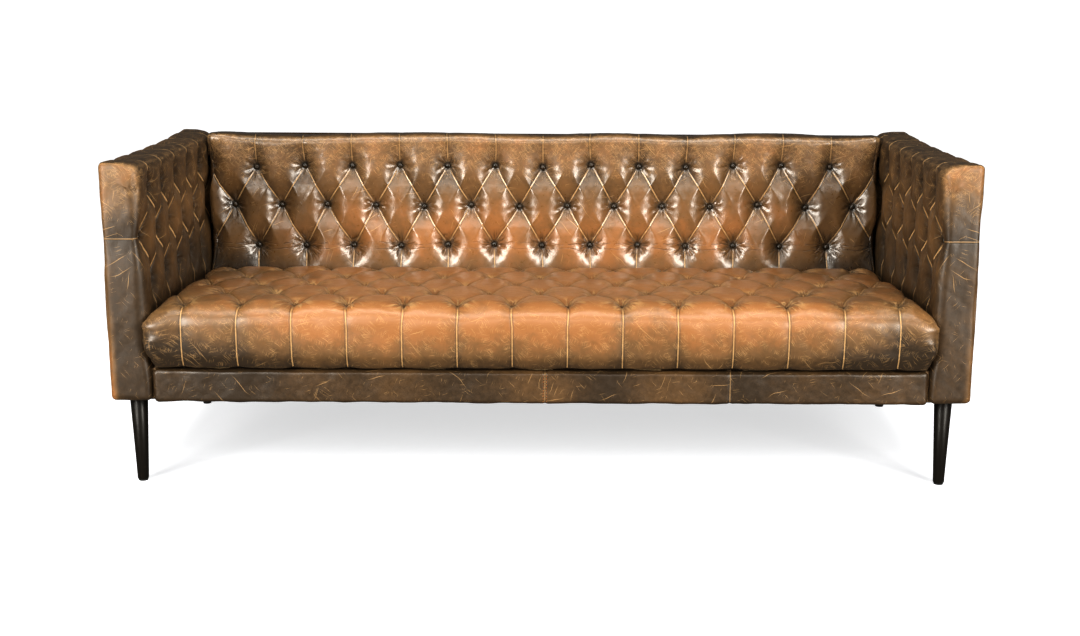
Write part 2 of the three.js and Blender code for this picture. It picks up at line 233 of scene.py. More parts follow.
@dataclass
class Pad:
    """A padded block with one main face, width by height, and its depth behind it.

    Its own coordinates run from the middle of the main face: u to the right, v up, and out of the face.
    """

    low: tuple  # u and v of the main face's low corner
    high: tuple
    thick: float
    cells: tuple  # grid cells across and up the main face
    place: Matrix  # from u, v, out to the sofa's X, Y, Z
    radius: object  # function of u, v, depth behind the main face
    height: object  # function of unfolded u, v: height, and the fields that the leather reads
    shape: object = None  # last change, in the sofa's own coordinates
    drift: float = 2.0 * MM
    lumps: float = 0.8 * MM
    seed: int = 1

    def unfolded(self, p):
        """u and v as if the block's sides lay flat around its main face."""
        edge = 1e-6
        u, v, depth = p[:, 0].copy(), p[:, 1].copy(), -p[:, 2]
        v += np.where(v >= self.high[1] - edge, depth, 0) - np.where(v <= self.low[1] + edge, depth, 0)
        on_end = (p[:, 1] < self.high[1] - edge) & (p[:, 1] > self.low[1] + edge)
        right = on_end & (p[:, 0] >= self.high[0] - edge)
        left = on_end & (p[:, 0] <= self.low[0] + edge)
        u += np.where(right, depth, 0) - np.where(left, depth, 0)
        return u, v

    def settle(self, p):
        """Rounds the block's edges, and gives each point's outward direction."""
        r = np.broadcast_to(self.radius(p[:, 0], p[:, 1], -p[:, 2]), len(p))[:, None]
        low = np.array([*self.low, -self.thick])
        high = np.array([*self.high, 0.0])
        core = np.minimum(np.maximum(p, low + r), high - r)
        out = p - core
        size = np.linalg.norm(out, axis=1, keepdims=True)
        normal = np.where(size > 1e-7, out / np.maximum(size, 1e-9), np.array([0.0, 0.0, -1.0]))
        return core + normal * np.minimum(size, r), normal

    def put(self, p, extra=0.0):
        """Final places in the sofa's coordinates, with the fields that the leather reads."""
        u, v = self.unfolded(p)
        height, fields = self.height(u, v)
        placed, normal = self.settle(p)
        flat = np.column_stack([u, v])
        height = height + self.lumps * (ripple(flat, 0.16, self.seed) - 1.0)
        height = height + 0.2 * MM * ripple(flat, 0.024, self.seed + 1)
        placed = placed + normal * (height + extra)[:, None]
        drift = [ripple(flat, 0.22, self.seed + 2), ripple(flat, 0.22, self.seed + 3), np.zeros(len(p))]
        inner = np.clip(normal[:, 2:3], 0, 1)
        placed = placed + self.drift * np.column_stack(drift) * inner
        matrix = np.array(self.place)
        world = placed @ matrix[:3, :3].T + matrix[:3, 3]
        facing = normal @ matrix[:3, :3].T
        if self.shape:
            world = self.shape(world)
        fields["edge"] = np.clip((1 - np.abs(normal).max(axis=1)) / 0.29, 0, 1)
        return world, facing, flat, fields


def drawn_on(bm, edges, step):
    """Draws a row of edges on by a step, and gives the new row."""
    drawn = bmesh.ops.extrude_edge_only(bm, edges=edges)["geom"]
    verts = {g for g in drawn if isinstance(g, bmesh.types.BMVert)}
    bmesh.ops.translate(bm, verts=list(verts), vec=step)
    return [g for g in drawn if isinstance(g, bmesh.types.BMEdge) and verts.issuperset(g.verts)]


def mesh_from(name, bm):
    mesh = bpy.data.meshes.new(name)
    bm.to_mesh(mesh)
    bm.free()
    return mesh


def linked(name, data):
    obj = bpy.data.objects.new(name, data)
    bpy.context.scene.collection.objects.link(obj)
    return obj


def block_bmesh(pad, steps, rings, star):
    """The sharp block: a grid, its sides drawn back in steps, and its rear closed with rings.

    With star, each cell of the grid is cut in four from its middle, so folds can run both ways.
    """
    width, height = pad.high[0] - pad.low[0], pad.high[1] - pad.low[1]
    middle = Vector(((pad.high[0] + pad.low[0]) / 2, (pad.high[1] + pad.low[1]) / 2, 0))
    bm = bmesh.new()
    matrix = Matrix.Translation(middle) @ Matrix.Diagonal((width, height, 1, 1))
    bmesh.ops.create_grid(bm, x_segments=pad.cells[0], y_segments=pad.cells[1], size=0.5, matrix=matrix)
    rim = [e for e in bm.edges if e.is_boundary]
    if star:
        bmesh.ops.poke(bm, faces=bm.faces[:])
    for step in steps:
        rim = drawn_on(bm, rim, (0, 0, -step))
    rear = bmesh.ops.contextual_create(bm, geom=rim)["faces"]
    for ring in rings:
        bmesh.ops.inset_region(bm, faces=rear, thickness=ring, use_even_offset=True)
    bmesh.ops.recalc_face_normals(bm, faces=bm.faces[:])
    return bm


def even_steps(total, near):
    """Steps of about one size that add up to a total."""
    count = max(1, round(total / near))
    return [total / count] * count


def pad_object(name, pad, steps, rings, patina_and_painted_light, worn, lip=None, star=True):
    """A padded block as a finished object, with its leather fields and a flat layout of its cover."""
    mesh = mesh_from(name, block_bmesh(pad, steps, rings, star))
    count = len(mesh.vertices)
    flat_places = np.empty(count * 3)
    mesh.vertices.foreach_get("co", flat_places)
    world, facing, flat, fields = pad.put(flat_places.reshape(-1, 3))
    mesh.vertices.foreach_set("co", world.ravel())
    if np.linalg.det(np.array(pad.place)[:3, :3]) < 0:
        mesh.flip_normals()
    fields["patina_and_painted_light"] = patina_and_painted_light(world, facing)
    fields["worn"] = worn(world, facing)
    fields["lip"] = lip(world, facing) if lip else np.ones(count)
    for label, values in fields.items():
        attribute = mesh.attributes.new(label, "FLOAT", "POINT")
        attribute.data.foreach_set("value", values.astype(np.float32))
    corners = np.empty(len(mesh.loops), dtype=np.int32)
    mesh.loops.foreach_get("vertex_index", corners)
    layout = mesh.uv_layers.new(name="cover")
    layout.uv.foreach_set("vector", flat[corners].astype(np.float32).ravel())
    return placed_object(name, mesh)


def placed_object(name, mesh):
    mesh.shade_smooth()
    mesh.update()
    obj = linked(name, mesh)
    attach(obj, BODY)
    return obj


def dress(obj, material, slot, *nodes):
    """Gives a piece its material, and hides the CAD nodes that it stands for. Its slot is not used."""
    obj.data.materials.append(material)
    if nodes:
        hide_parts(*nodes)
    return obj


# ---------------------------------------------------------------- where each pad goes


def upright(y):
    """Sets a pad upright at y: u to the right, v up, out towards the front."""
    return Matrix(((1, 0, 0, 0), (0, 0, -1, y), (0, 1, 0, 0), (0, 0, 0, 1)))


def sag_of_arm(p, low, high):
    """Lets the top of an arm dip a little between its front and the back."""
    up = smoothstep(p[:, 2], 0.6, high.z)
    run = (p[:, 1] - low.y) / (high.y - low.y)
    p[:, 2] -= up * (7 * MM * np.sin(math.pi * np.clip(run, 0, 1)) + 2 * MM)
    return p


def sag_of_back(p, bottom, top, forward):
    """Lets the top edge of the back wander, and slopes its top down to the rear."""
    up = np.clip((p[:, 2] - bottom) / (top - bottom), 0, 1)
    p[:, 2] -= 3 * MM * np.clip(ripple(p[:, :1], 0.5, 8), -1, 1) * up**4
    p[:, 2] -= 12 * MM * (1 - forward) * up**6
    return p


def back_pad(sizes):
    low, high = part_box("inside_back_cover")
    cells = (450, 70)
    bottom = high.z - BACK_HEIGHT
    cell_u = (high.x - low.x) / cells[0]
    cell_v = (high.z - bottom) / cells[1]
    tufting = Tufting(
        pitch=cell_u * CELLS_PER_PITCH,
        gap=cell_v * CELLS_PER_GAP,
        first=(0.0, high.z - cell_v * (BACK_TOP_CELLS + 2 * CELLS_PER_GAP)),
        rows=3,
        depth=sizes.back_tuft,
        pleat=sizes.back_pleat,
        pucker=1.6 * MM,
        straight=0.15,
        dimple=1.05,
        crease=3.0,
        strain=0.6,
        seed=3,
    )
    thick = high.y - low.y - 3 * MM

    def radius(u, v, depth):
        ends = smoothstep(np.abs(u), high.x - 0.10, high.x - 0.02)
        return 12 * MM + 18 * MM * (1 - smoothstep(depth, 0.3 * thick, 0.6 * thick)) * (1 - 0.7 * ends)

    def shape(p):
        up = np.clip((p[:, 2] - bottom) / (high.z - bottom), 0, 1)
        forward = np.clip((high.y - p[:, 1]) / thick, 0, 1)
        p[:, 1] += 10 * MM * up * forward
        return sag_of_back(p, bottom, high.z, forward)

    pad = Pad(
        low=(low.x, bottom),
        high=(high.x, high.z),
        thick=thick,
        cells=cells,
        place=upright(low.y),
        radius=radius,
        height=tufting.fields,
        shape=shape,
        seed=11,
    )
    return pad, tufting


def arm_pad(name, sizes):
    side = SIDES[name]
    low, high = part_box(f"{name}_inside_arm_cover")
    inner = min(abs(low.x), abs(high.x))
    thick = max(abs(low.x), abs(high.x)) - inner - 3.5 * MM
    cells = (202, 85)
    cell_u = (high.y - low.y) / cells[0]
    cell_v = (high.z - low.z) / cells[1]
    first_u = low.y + cell_u * (ARM_FRONT_CELLS + CELLS_PER_PITCH // 2)
    tufting = Tufting(
        pitch=cell_u * CELLS_PER_PITCH,
        gap=cell_v * CELLS_PER_GAP,
        first=(first_u, high.z - cell_v * (ARM_TOP_CELLS + 2 * CELLS_PER_GAP)),
        rows=3,
        front=-1.0,
        depth=sizes.arm_tuft,
        pleat=sizes.arm_pleat,
        straight=0.55,
        dimple=1.1,
        crease=3.0,
        seed=5 + side,
    )

    def radius(u, v, depth):
        inside = 12 * MM + 16 * MM * smoothstep(v, 0.24, 0.36) + 6 * MM * smoothstep(v, 0.62, 0.72)
        return inside + (13 * MM - inside) * smoothstep(depth, 0.3 * thick, 0.6 * thick)

    turn = Matrix(((0, 0, -side, side * inner), (1, 0, 0, 0), (0, 1, 0, 0), (0, 0, 0, 1)))
    pad = Pad(
        low=(low.y, low.z),
        high=(high.y, high.z),
        thick=thick,
        cells=cells,
        place=turn,
        radius=radius,
        height=tufting.fields,
        shape=lambda p: sag_of_arm(p, low, high),
        seed=31 + side,
    )
    return pad, tufting


def seat_pad(sizes):
    low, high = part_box("seat_cover")
    cells = (456, 76)
    cell_u = (high.x - low.x) / cells[0]
    cell_v = (high.y - low.y) / cells[1]
    pitch = cell_u * CELLS_PER_PITCH
    tufting = Tufting(
        pitch=pitch,
        gap=cell_v * CELLS_PER_GAP,
        first=(pitch / 2, low.y + cell_v * SEAT_FRONT_CELLS),
        rows=5,
        depth=sizes.seat_tuft,
        pleat=sizes.seat_pleat,
        pucker=0.9 * MM,
        dimple=2.6,
        straight=0.3,
        seed=9,
    )
    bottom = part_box("seat_foam")[0].z
    tall = high.z - bottom

    def radius(u, v, depth):
        return 10 * MM + 44 * MM * (1 - smoothstep(depth, 0.40 * tall, 0.75 * tall))

    return Pad(
        low=(low.x, low.y),
        high=(high.x, high.y),
        thick=tall,
        cells=cells,
        place=Matrix.Translation((0, 0, high.z)),
        radius=radius,
        height=tufting.fields,
        shape=lambda p: seat_form(p, low, high, bottom),
        drift=3.0 * MM,
        lumps=1.2 * MM,
        seed=21,
    )


def seat_form(p, low, high, bottom):
    """Slopes the seat to the back, fills its nose, and draws its front corners out to soft points."""
    tall = high.z - bottom
    back = smoothstep(p[:, 1], low.y + 0.05, high.y)
    p[:, 2] = bottom + (p[:, 2] - bottom) * (1 - 0.17 * back)
    level = (p[:, 2] - bottom) / tall
    nose = 1 - smoothstep(p[:, 1], low.y, low.y + 0.06)
    seam = 1 - smoothstep(level, 0.0, 0.22)
    p[:, 1] += nose * (9 * MM * seam - 7 * MM * np.sin(math.pi * np.clip(level, 0, 1)))
    end = smoothstep(np.abs(p[:, 0]), high.x - 0.075, high.x - 0.012)
    corner = end * (1 - smoothstep(p[:, 1], low.y + 0.005, low.y + 0.11))
    tip = np.clip(1 - abs(level - 0.66) / np.where(level > 0.66, 0.26, 0.5), 0, 1)
    p[:, 0] += np.sign(p[:, 0]) * corner * (28 * MM * tip - 6 * MM * seam)
    p[:, 1] -= corner * 13 * MM * tip
    p[:, 2] -= corner * 10 * MM * smoothstep(level, 0.7, 1.0)
    folds = np.sin(p[:, 2] * 2 * math.pi / 0.017 + np.abs(p[:, 0]) * 60)
    p[:, 1] += corner * 1.1 * MM * folds * (1 - smoothstep(level, 0.45, 0.7))
    return p


# ---------------------------------------------------------------- shader trees


class Tree:
    """A short way to add and link shader nodes."""

    def __init__(self, tree):
        self.tree = tree

    def add(self, kind, inputs=None, **settings):
        node = self.tree.nodes.new(kind if kind.startswith("Node") else f"ShaderNode{kind}")
        for key, value in settings.items():
            setattr(node, key, value)
        for key, value in (inputs or {}).items():
            self.feed(node.inputs[key], value)
        return node

    def feed(self, socket, value):
        if isinstance(value, bpy.types.NodeSocket):
            self.tree.links.new(value, socket)
        else:
            socket.default_value = value

    def maths(self, operation, first, second=0.5, clamp=False):
        return self.add("Math", {0: first, 1: second}, operation=operation, use_clamp=clamp).outputs[0]

    def times(self, first, second):
        return self.maths("MULTIPLY", first, second)

    def plus(self, first, *others):
        for other in others:
            first = self.maths("ADD", first, other)
        return first

    def most(self, first, *others):
        for other in others:
            first = self.maths("MAXIMUM", first, other)
        return first

    def apart(self, first, second):
        """The distance between two values."""
        return self.maths("ABSOLUTE", self.maths("SUBTRACT", first, second))

    def swing(self, value, middle, gain):
        """How far a value is above its middle, times a gain."""
        return self.times(self.maths("SUBTRACT", value, middle), gain)

    def rising(self, value, start, slope):
        """A start, plus a slope times a value."""
        return self.plus(start, self.times(value, slope))

    def vector(self, operation, first, second=None):
        """Vector maths; the second value of SCALE is a number."""
        inputs = {0: first}
        if second is not None:
            inputs[3 if operation == "SCALE" else 1] = second
        node = self.add("VectorMath", inputs, operation=operation)
        return node.outputs["Value" if operation == "LENGTH" else "Vector"]

    def mix(self, factor, first, second):
        return self.add("Mix", {0: factor, 6: first, 7: second}, data_type="RGBA").outputs[2]

    def spread(self, value, low, high, to_low=0.0, to_high=1.0):
        inputs = {"Value": value, "From Min": low, "From Max": high, "To Min": to_low, "To Max": to_high}
        return self.add("MapRange", inputs, interpolation_type="SMOOTHSTEP").outputs[0]

    def noise(self, vector, scale, detail=3.0, roughness=0.55, distortion=0.0):
        inputs = {"Vector": vector, "Scale": scale, "Detail": detail}
        inputs.update({"Roughness": roughness, "Distortion": distortion})
        return self.add("TexNoise", inputs).outputs[0]

    def field(self, name):
        return self.add("Attribute", attribute_name=name).outputs["Fac"]


def node_group(name, inputs, output, build):
    """A shader node group, made once, with one output. An input of None is a vector, the rest are numbers."""
    if name in bpy.data.node_groups:
        return bpy.data.node_groups[name]
    made = bpy.data.node_groups.new(name, "ShaderNodeTree")
    for label, default in inputs.items():
        kind = "NodeSocketVector" if default is None else "NodeSocketFloat"
        socket = made.interface.new_socket(label, in_out="INPUT", socket_type=kind)
        if default is not None:
            socket.default_value = default
    made.interface.new_socket(output, in_out="OUTPUT", socket_type="NodeSocketFloat")
    tree = Tree(made)
    source = tree.add("NodeGroupInput")
    result = tree.add("NodeGroupOutput")
    tree.feed(result.inputs[0], build(tree, source.outputs))
    return made


def use_group(tree, group, **inputs):
    return tree.add("Group", inputs, node_tree=group).outputs[0]


def grain_group():
    """Fine leather grain: small raised cells and pores between them."""

    def build(tree, given):
        inputs = {"Vector": given["Vector"], "Scale": given["Scale"], "Randomness": 1.0}
        cells = tree.add("TexVoronoi", inputs, feature="DISTANCE_TO_EDGE").outputs["Distance"]
        raised = tree.spread(cells, 0.0, 0.25)
        fine = tree.noise(given["Vector"], tree.times(given["Scale"], 2.5), 2.0)
        return tree.plus(tree.times(raised, 0.6), tree.times(fine, 0.4))

    return node_group("Leather Grain", {"Vector": None, "Scale": 300.0}, "Height", build)


def scratches_group():
    """Short bright scratches that lie in several directions."""

    def build(tree, given):
        bend = tree.add("TexNoise", {"Vector": given["Vector"], "Scale": 9.0}).outputs["Color"]
        vector = tree.vector("ADD", given["Vector"], tree.vector("MULTIPLY", bend, (0.05, 0.05, 0.0)))
        layers = []
        for turn, lengthwise, crosswise in ((0.3, 8.0, 260.0), (1.25, 11.0, 300.0), (-0.8, 6.0, 230.0)):
            stretch = (1 / lengthwise, 1 / crosswise, 1.0)
            inputs = {"Vector": vector, "Rotation": (0, 0, turn), "Scale": stretch}
            mapped = tree.add("Mapping", inputs, vector_type="TEXTURE").outputs[0]
            cell = tree.add("TexVoronoi", {"Vector": mapped, "Scale": 1.0}, voronoi_dimensions="2D").outputs
            streak = tree.spread(cell["Distance"], 0.06, 0.24, 1.0, 0.0)
            chance = tree.add("SeparateColor", {0: cell["Color"]}).outputs[0]
            layers.append(tree.times(streak, tree.maths("LESS_THAN", chance, given["Amount"])))
        return tree.most(*layers)

    return node_group("Scratches", {"Vector": None, "Amount": 0.05}, "Mask", build)


def wrinkles_group():
    """Wrinkles that run out from a tuft and die away, and folds pulled across between strained tufts."""

    def build(tree, given):
        rim = tree.vector("SCALE", tree.vector("NORMALIZE", given["Flat"]), 2.6)
        vector = tree.vector("ADD", rim, tree.vector("SCALE", given["Vector"], 22.0))
        streak = tree.spread(tree.apart(tree.noise(vector, 1.1, 1.0), 0.5), 0.0, 0.09, 1.0, 0.0)
        reach = tree.maths("DIVIDE", given["Away"], given["Strain"])
        streak = tree.times(streak, tree.spread(reach, 10 * MM, 34 * MM, 1.0, 0.0))
        above = tree.add("SeparateXYZ", {0: given["Flat"]}).outputs[1]
        sway = tree.times(tree.noise(given["Vector"], 24.0, 1.0), 18 * MM)
        line = tree.spread(tree.apart(tree.plus(above, 2 * MM), sway), 0.0, 1.8 * MM, 1.0, 0.0)
        line = tree.times(line, tree.spread(given["Strain"], 1.15, 1.6, 0.0, 0.55))
        return tree.most(streak, line)

    inputs = {"Vector": None, "Flat": None, "Away": 1.0, "Strain": 1.0}
    return node_group("Tuft Wrinkles", inputs, "Mask", build)


def blotches_group():
    """Uneven cloudy patches."""

    def build(tree, given):
        cloud = tree.noise(given["Vector"], given["Scale"], 5.0, 0.6, 0.4)
        return tree.spread(cloud, given["Low"], given["High"])

    return node_group("Blotches", {"Vector": None, "Scale": 6.0, "Low": 0.35, "High": 0.65}, "Mask", build)


def blotches(tree, place, scale, low=0.35, high=0.65):
    return use_group(tree, blotches_group(), Vector=place, Scale=scale, Low=low, High=high)


# ---------------------------------------------------------------- materials


def new_material(name):
    """An empty material, its tree and shader, and the place of each point on the sofa."""
    made = bpy.data.materials.new(name)
    made.use_nodes = True
    made.node_tree.nodes.clear()
    tree = Tree(made.node_tree)
    shader = tree.add("BsdfPrincipled")
    tree.add("OutputMaterial", {"Surface": shader.outputs[0]})
    return made, tree, shader, tree.add("TexCoord").outputs["Object"]


def finish_surface(tree, shader, base, rough, height, depth, strength=1.0):
    """Gives a material its base colour and roughness, and relief from a height of 0 to 1 times a depth."""
    tree.feed(shader.inputs["Base Color"], base)
    tree.feed(shader.inputs["Roughness"], rough)
    bump = tree.add("Bump", {"Height": height, "Distance": depth, "Strength": strength})
    tree.feed(shader.inputs["Normal"], bump.outputs[0])


def rgba(base, shade=1.0):
    return (*(part * shade for part in base), 1.0)


def leather_age(tree, place, small):
    """Near 0 for dark leather and near 1 for light leather: mostly age and wear, partly painted shade and
    sheen.
    """
    patina_and_painted_light = tree.field("patina_and_painted_light")
    broad = tree.swing(blotches(tree, place, 4.0, 0.2, 0.8), 0.5, tree.rising(patina_and_painted_light, 0.12, 0.45))
    patches = tree.swing(blotches(tree, place, 19.0, 0.25, 0.75), 0.5, tree.rising(patina_and_painted_light, 0.05, 0.34))
    speckle = tree.swing(small, 0.5, tree.rising(tree.field("worn"), 0.08, 0.13))
    # Puffs lighter and folds darker: partly wear on the puffs, partly painted shade in the folds.
    puff_wear_and_shade = tree.swing(tree.field("crown"), 0.8, 0.18)
    return tree.plus(patina_and_painted_light, broad, patches, speckle, puff_wear_and_shade)


def scratch_lines(tree, small, worn, scratches):
    """Hairlines, more of them where the leather is worn, and a few long scratches."""
    sheet = tree.add("UVMap", uv_map="cover").outputs[0]
    finer = tree.vector("SCALE", sheet, 2.9)
    hairlines = use_group(tree, scratches_group(), Vector=finer, Amount=tree.rising(worn, 0.015, 0.65))
    hairlines = tree.times(hairlines, tree.rising(small, 0.35, 0.45))
    marks = use_group(tree, scratches_group(), Vector=sheet, Amount=scratches)
    return tree.most(hairlines, tree.times(marks, 0.52))


def fold_lines(tree, lip):
    """The ridge in the middle of each fold, and the crease on each side of it, which sinks the relief and
    marks painted shade.
    """
    fold = tree.field("fold")
    ridge = tree.spread(fold, 0.9 * MM, tree.times(tree.most(lip, 1.0), 2.2 * MM), 1.0, 0.0)
    crease = tree.spread(tree.apart(fold, 3.2 * MM), 0.3 * MM, 1.9 * MM, 1.0, 0.0)
    return ridge, tree.times(crease, tree.rising(lip, 0.05, 0.26))


def leather(name, colours, light, scratches, rough, pale, coat):
    """Worn leather with painted shade in its folds and round its tufts, from the fields and the flat layout
    of its cover.

    light is its lightest colour, scratches the share of long ones, pale how far its wrinkles are rubbed
    to tan, and coat the weight and roughness of its polish.
    """
    if name in bpy.data.materials:
        return bpy.data.materials[name]
    made, tree, shader, place = new_material(name)
    lip, worn = tree.field("lip"), tree.field("worn")
    small = blotches(tree, place, 110.0, 0.25, 0.75)
    rubbed = rgba(colours.rubbed)

    age = leather_age(tree, place, small)
    base = tree.mix(tree.spread(age, 0.0, 0.5), rgba(colours.dark), rgba(colours.brown))
    base = tree.mix(tree.spread(age, 0.35, 1.05), base, rgba(light))
    lines = scratch_lines(tree, small, worn, scratches)
    base = tree.mix(lines, base, rubbed)

    flat = tree.add("CombineXYZ", {0: tree.field("aside"), 1: tree.field("above"), 2: 0.0}).outputs[0]
    away = tree.vector("LENGTH", flat)
    pulled = {"Flat": flat, "Away": tree.times(away, 1.0 - 0.6 * pale), "Strain": tree.field("strain")}
    wrinkles = use_group(tree, wrinkles_group(), Vector=place, **pulled)
    ridge, crease = fold_lines(tree, lip)
    tan = tree.times(tree.times(ridge, lip), tree.rising(small, 0.5, 0.35))
    tan = tree.times(tan, tree.spread(away, 8 * MM, 24 * MM, 0.15, 1.0))
    corner = tree.spread(tree.rising(small, tree.field("edge"), 0.5), 0.85, 1.5)
    corner = tree.times(corner, tree.times(worn, 0.35))
    rubs = tree.most(tan, corner, tree.times(wrinkles, pale))
    base = tree.mix(rubs, base, rubbed)

    # Painted shade: the leather is darkened towards the grime colour in its creases, round each tuft and
    # along the wrinkles that run from it.
    near = tree.spread(away, 5 * MM, 21 * MM, 0.92, 0.0)
    wide = tree.spread(away, 14 * MM, 50 * MM, 0.28, 0.0)
    tuft_shade = tree.most(near, wide, tree.times(wrinkles, max(0.7 - pale, 0.0)))
    dark = tree.most(crease, tree.times(tuft_shade, tree.spread(lip, 0.5, 0.75, 0.0, 1 - 0.45 * pale)))
    base = tree.mix(dark, base, rgba(colours.grime_and_shade))

    dull = tree.times(tree.most(lines, rubs, worn), 0.22)
    gloss = tree.maths("ADD", tree.plus(rough, tree.swing(small, 0.5, 0.12)), dull, clamp=True)
    shader.inputs["Coat Weight"].default_value = coat[0]
    shader.inputs["Coat Roughness"].default_value = coat[1]
    grain = use_group(tree, grain_group(), Vector=place, Scale=420.0)
    creases = tree.noise(place, 70.0, 3.0, 0.6, 0.8)
    height = tree.plus(tree.times(grain, 0.08), tree.times(creases, 0.22), tree.times(ridge, 1.2))
    height = tree.plus(height, tree.times(crease, -1.2), tree.times(wrinkles, -2.2))
    finish_surface(tree, shader, base, gloss, height, 1.0 * MM, 0.9)
    return made


def body_leather(colours):
    return leather("worn body leather", colours, colours.body, 0.022, rough=0.32, pale=0.0, coat=(1.0, 0.21))


def arm_leather(colours):
    return leather("worn arm leather", colours, colours.body, 0.026, rough=0.42, pale=0.0, coat=(0.32, 0.34))


def seat_leather(colours):
    return leather("worn seat leather", colours, colours.seat, 0.014, rough=0.38, pale=0.75, coat=(0.6, 0.30))


def button_leather(colours):
    made, tree, shader, place = new_material("button_leather")
    cloud = blotches(tree, place, 120.0)
    base = tree.mix(cloud, rgba(colours.grime_and_shade), rgba(colours.dark))
    grain = use_group(tree, grain_group(), Vector=place, Scale=700.0)
    finish_surface(tree, shader, base, tree.spread(cloud, 0.0, 1.0, 0.16, 0.30), grain, 0.15 * MM)
    return made


def lacquered_wood(colours):
    made, tree, shader, place = new_material("ebonised_wood")
    long_grain = tree.add("Mapping", {"Vector": place, "Scale": (1.0, 1.0, 0.06)}).outputs[0]
    grain = tree.noise(long_grain, 420.0, 4.0)
    rubs = tree.times(blotches(tree, place, 60.0, 0.62, 0.8), 0.25)
    base = tree.mix(grain, rgba(colours.leg), rgba(colours.leg, 2.2))
    base = tree.mix(rubs, base, rgba((0.10, 0.06, 0.035)))
    shader.inputs["Specular IOR Level"].default_value = 0.25
    finish_surface(tree, shader, base, tree.spread(grain, 0.2, 0.8, 0.28, 0.42), grain, 0.15 * MM, 0.7)
    return made


def planed_wood():
    made, tree, shader, place = new_material("hardwood")
    long_grain = tree.add("Mapping", {"Vector": place, "Scale": (0.12, 1.0, 1.0)}).outputs[0]
    grain = tree.noise(long_grain, 130.0, 5.0, 0.6, 1.2)
    base = tree.mix(tree.spread(grain, 0.3, 0.7), rgba((0.30, 0.17, 0.08)), rgba((0.52, 0.35, 0.19)))
    finish_surface(tree, shader, base, tree.spread(grain, 0.2, 0.8, 0.55, 0.75), grain, 0.3 * MM)
    return made


def woven(name, first, second, threads):
    """Plain woven cloth, of warp and weft lines seen from any side."""
    made, tree, shader, place = new_material(name)
    inputs = {"Vector": place, "Scale": threads, "Distortion": 1.0}
    x, y, z = (tree.add("TexWave", inputs, bands_direction=axis).outputs["Fac"] for axis in "XYZ")
    weave = tree.times(tree.plus(x, z), y)
    base = tree.mix(tree.spread(weave, 0.1, 1.2), rgba(first), rgba(second))
    finish_surface(tree, shader, base, tree.spread(weave, 0.0, 1.5, 0.9, 0.8), weave, 0.4 * MM)
    return made


def worn_plain(name, colour_value, metallic, rough):
    """A hard, even material with faint scratches and uneven gloss."""
    made, tree, shader, place = new_material(name)
    marks = use_group(tree, scratches_group(), Vector=place, Amount=0.08)
    cloud = blotches(tree, place, 80.0)
    base = tree.mix(tree.times(cloud, 0.35), rgba(colour_value), rgba(colour_value, 0.6))
    shader.inputs["Metallic"].default_value = metallic
    finish_surface(tree, shader, base, tree.spread(cloud, 0.0, 1.0, rough, rough + 0.15), marks, 0.1 * MM)
    return made


# ---------------------------------------------------------------- the pieces


def make_back(sizes, colours):
    pad, _ = back_pad(sizes)

    def patina_and_painted_light(p, facing):
        ends = smoothstep(np.abs(p[:, 0]), 0.45, 0.88)
        lower = 1 - smoothstep(p[:, 2], 0.50, 0.66)
        # Painted shade: the back is darker just above the seat and where its top faces up.
        shade = 1 - smoothstep(p[:, 2], 0.40, 0.47)
        top = smoothstep(facing[:, 2], 0.5, 0.95)
        strip = smoothstep(p[:, 2], 0.64, 0.70)
        return 0.42 + 0.36 * lower * (1 - ends) + 0.06 * strip - 0.13 * ends - 0.30 * shade - 0.3 * top

    def worn(p, facing):
        return smoothstep(p[:, 2], 0.62, 0.72) * (1 - smoothstep(facing[:, 2], 0.5, 0.9))

    def lip(p, facing):
        return 1.0 - 0.45 * smoothstep(p[:, 2], 0.68, 0.74)

    steps = even_steps(pad.thick, 8 * MM)
    back = pad_object("tufted_back", pad, steps, [6 * MM] * 3, patina_and_painted_light, worn, lip)
    dress(back, body_leather(colours), "body_leather", "inside_back_cover", "back_foam")


def make_arm(name, sizes, colours):
    pad, _ = arm_pad(name, sizes)
    edge_glow = {"left": 0.75, "right": 0.35}[name]

    def patina_and_painted_light(p, facing):
        outer_edge = smoothstep(np.abs(p[:, 0]), 0.972, 0.992)
        low = 1 - smoothstep(p[:, 2], 0.25, 0.5)
        front = smoothstep(-facing[:, 1], 0.3, 0.8)
        glow = edge_glow * outer_edge * (0.3 + 0.7 * low)
        # Partly wear and partly painted sheen: the top of the arm's front is lighter.
        cap_wear_and_sheen = 0.50 * smoothstep(p[:, 2], 0.62, 0.76) * front
        return 0.09 + glow + cap_wear_and_sheen + 0.22 * bump_at(p[:, 2], 0.60, 0.10) * (1 - front)

    def worn(p, facing):
        front = smoothstep(-facing[:, 1], 0.3, 0.8)
        upper = smoothstep(p[:, 2], 0.62, 0.76)
        return 0.04 + 0.65 * front * upper + 0.45 * upper * (1 - front)

    def lip(p, facing):
        return 1.4 - 0.9 * smoothstep(-facing[:, 1], 0.3, 0.8) + 0.9 * smoothstep(facing[:, 2], 0.3, 0.8)

    steps = even_steps(pad.thick, 4.8 * MM)
    arm = pad_object(f"{name}_tufted_arm", pad, steps, [2.5 * MM] * 6, patina_and_painted_light, worn, lip)
    nodes = (f"{name}_inside_arm_cover", f"{name}_arm_foam")
    dress(arm, arm_leather(colours), "body_leather", *nodes)


